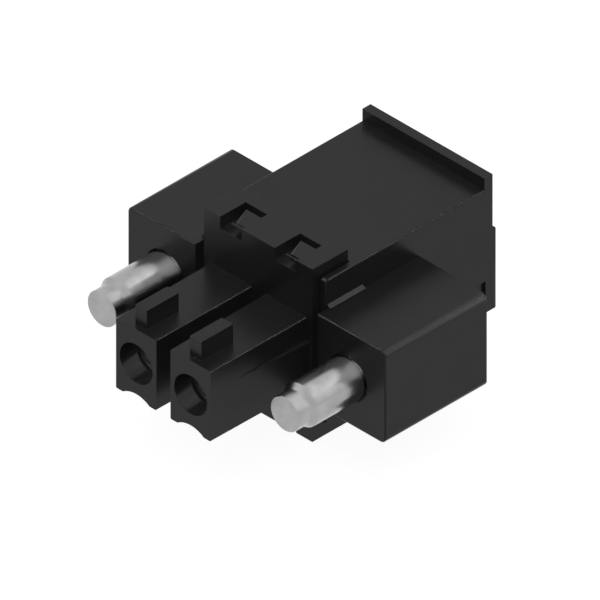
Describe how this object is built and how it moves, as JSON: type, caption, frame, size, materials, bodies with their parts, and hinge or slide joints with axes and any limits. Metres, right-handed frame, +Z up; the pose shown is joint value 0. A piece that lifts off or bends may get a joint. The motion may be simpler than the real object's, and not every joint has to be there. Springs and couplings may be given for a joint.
{
  "type": "pcb connector",
  "caption": "Pluggable female board connector with square contact chimneys, captive flange screws and push-in wire clamps with release buttons.",
  "frame": {"origin": "under the middle of the plug, on the plane of its flat underside", "axes": "+X across the poles, +Y from the mating side towards the wires, +Z up"},
  "size_m": [0.018, 0.019, 0.0104],
  "materials": {
    "carrier_plastic": "fine moulded, satin black",
    "hood_plastic": "fine moulded, satin black",
    "flange_plastic": "fine moulded, satin black",
    "button_plastic": "satin black",
    "screw_steel": "nickel plated, satin",
    "tinned_copper": "tin plated, matt",
    "spring_steel": "stainless strip"
  },
  "bodies": {
    "housing": {"contact_carrier": "carrier_plastic", "rear_housing": "hood_plastic", "flange_block_left": "flange_plastic", "flange_block_right": "flange_plastic", "terminal_1": "tinned_copper", "contact_spring_1": "spring_steel", "clamp_spring_1": "spring_steel", "terminal_2": "tinned_copper", "contact_spring_2": "spring_steel", "clamp_spring_2": "spring_steel"},
    "screw_left": {"flange_screw_left": "screw_steel"},
    "screw_right": {"flange_screw_right": "screw_steel"},
    "button_1": {"release_button_1": "button_plastic"},
    "button_2": {"release_button_2": "button_plastic"}
  },
  "joints": [
    {"name": "screw_turn_left", "type": "hinge", "parent": "housing", "child": "screw_left", "pos_m": [-0.00641, -0.00291, 0.00523], "axis": [0, -1, 0], "continuous": true},
    {"name": "screw_turn_right", "type": "hinge", "parent": "housing", "child": "screw_right", "pos_m": [0.00641, -0.00291, 0.00523], "axis": [0, -1, 0], "continuous": true},
    {"name": "button_push_1", "type": "slide", "parent": "housing", "child": "button_1", "axis": [0, -1, 0], "range_m": [0, 0.0009], "stiffness_N_per_m": 1500, "springref_m": -0.001, "deforming": ["clamp_spring_1"]},
    {"name": "button_push_2", "type": "slide", "parent": "housing", "child": "button_2", "axis": [0, -1, 0], "range_m": [0, 0.0009], "stiffness_N_per_m": 1500, "springref_m": -0.001, "deforming": ["clamp_spring_2"]}
  ]
}
